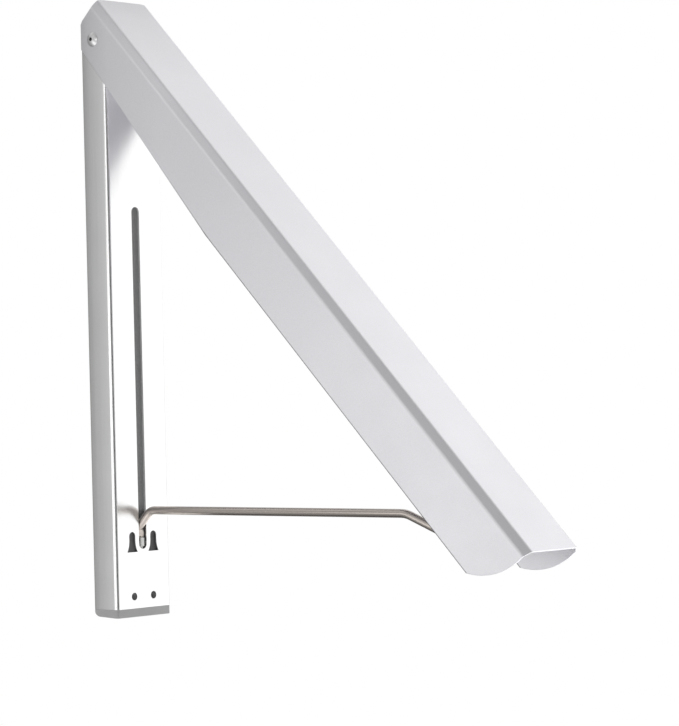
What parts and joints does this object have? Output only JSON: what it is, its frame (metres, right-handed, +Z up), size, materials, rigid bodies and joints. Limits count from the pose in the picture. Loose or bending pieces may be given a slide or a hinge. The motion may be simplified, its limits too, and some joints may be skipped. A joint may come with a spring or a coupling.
{
  "type": "wall mounted fold down drying rack",
  "caption": "Narrow wall rack whose channel arm swings down from a slotted wall frame and is propped by a level hanger rod that slides in the slot.",
  "frame": {"origin": "on the wall, at the centre of the four wall screw holes, on the rack's centre line", "axes": "+X to the right for someone facing the wall, +Y into the wall along the screws, +Z up"},
  "size_m": [0.051, 0.316, 0.3594],
  "materials": {
    "arm_silver": "satin silver",
    "frame_metal": "polished",
    "rod_steel": "bright drawn",
    "hidden_steel": "zinc plated",
    "rivet_chrome": "bright",
    "cap_grey": "matte",
    "slide_black": "smooth",
    "nylon": "smooth"
  },
  "bodies": {
    "wall_side": {"wall_frame": "frame_metal", "bottom_cap": "cap_grey", "top_cap": "cap_grey", "slot_buffer": "nylon", "pivot_rivets": "rivet_chrome", "pivot_washers": "nylon", "backing_washers": "hidden_steel"},
    "arm": {"arm_cover": "arm_silver", "rod_bracket": "hidden_steel", "arm_pin": "hidden_steel", "arm_pin_clip": "hidden_steel", "eye_washers": "nylon"},
    "rod": {"hanger_rod": "rod_steel", "rod_wall_eye": "rod_steel", "rod_arm_eye": "rod_steel", "slide_pin_core": "hidden_steel"},
    "slider": {"slide_clevis": "hidden_steel", "slide_shoe_left": "slide_black", "slide_shoe_right": "slide_black", "slide_pin_stubs": "hidden_steel"}
  },
  "joints": [
    {"name": "arm_fold", "type": "hinge", "parent": "wall_side", "child": "arm", "pos_m": [0, -0.011, 0.173], "axis": [1, 0, 0], "range_deg": [0, 40]},
    {"name": "rod_pivot", "type": "hinge", "parent": "arm", "child": "rod", "pos_m": [0, -0.27, -0.114], "axis": [1, 0, 0], "range_deg": [0, 47.36]},
    {"name": "slider_slide", "type": "slide", "parent": "wall_side", "child": "slider", "axis": [0, 0, 1], "range_m": [0, 0.1585]}
  ],
  "couplings": [
    {"joint": "rod_pivot", "follows": "arm_fold", "ratio": 1.1836},
    {"joint": "slider_slide", "follows": "arm_fold", "m_per_rad": 0.22684}
  ]
}
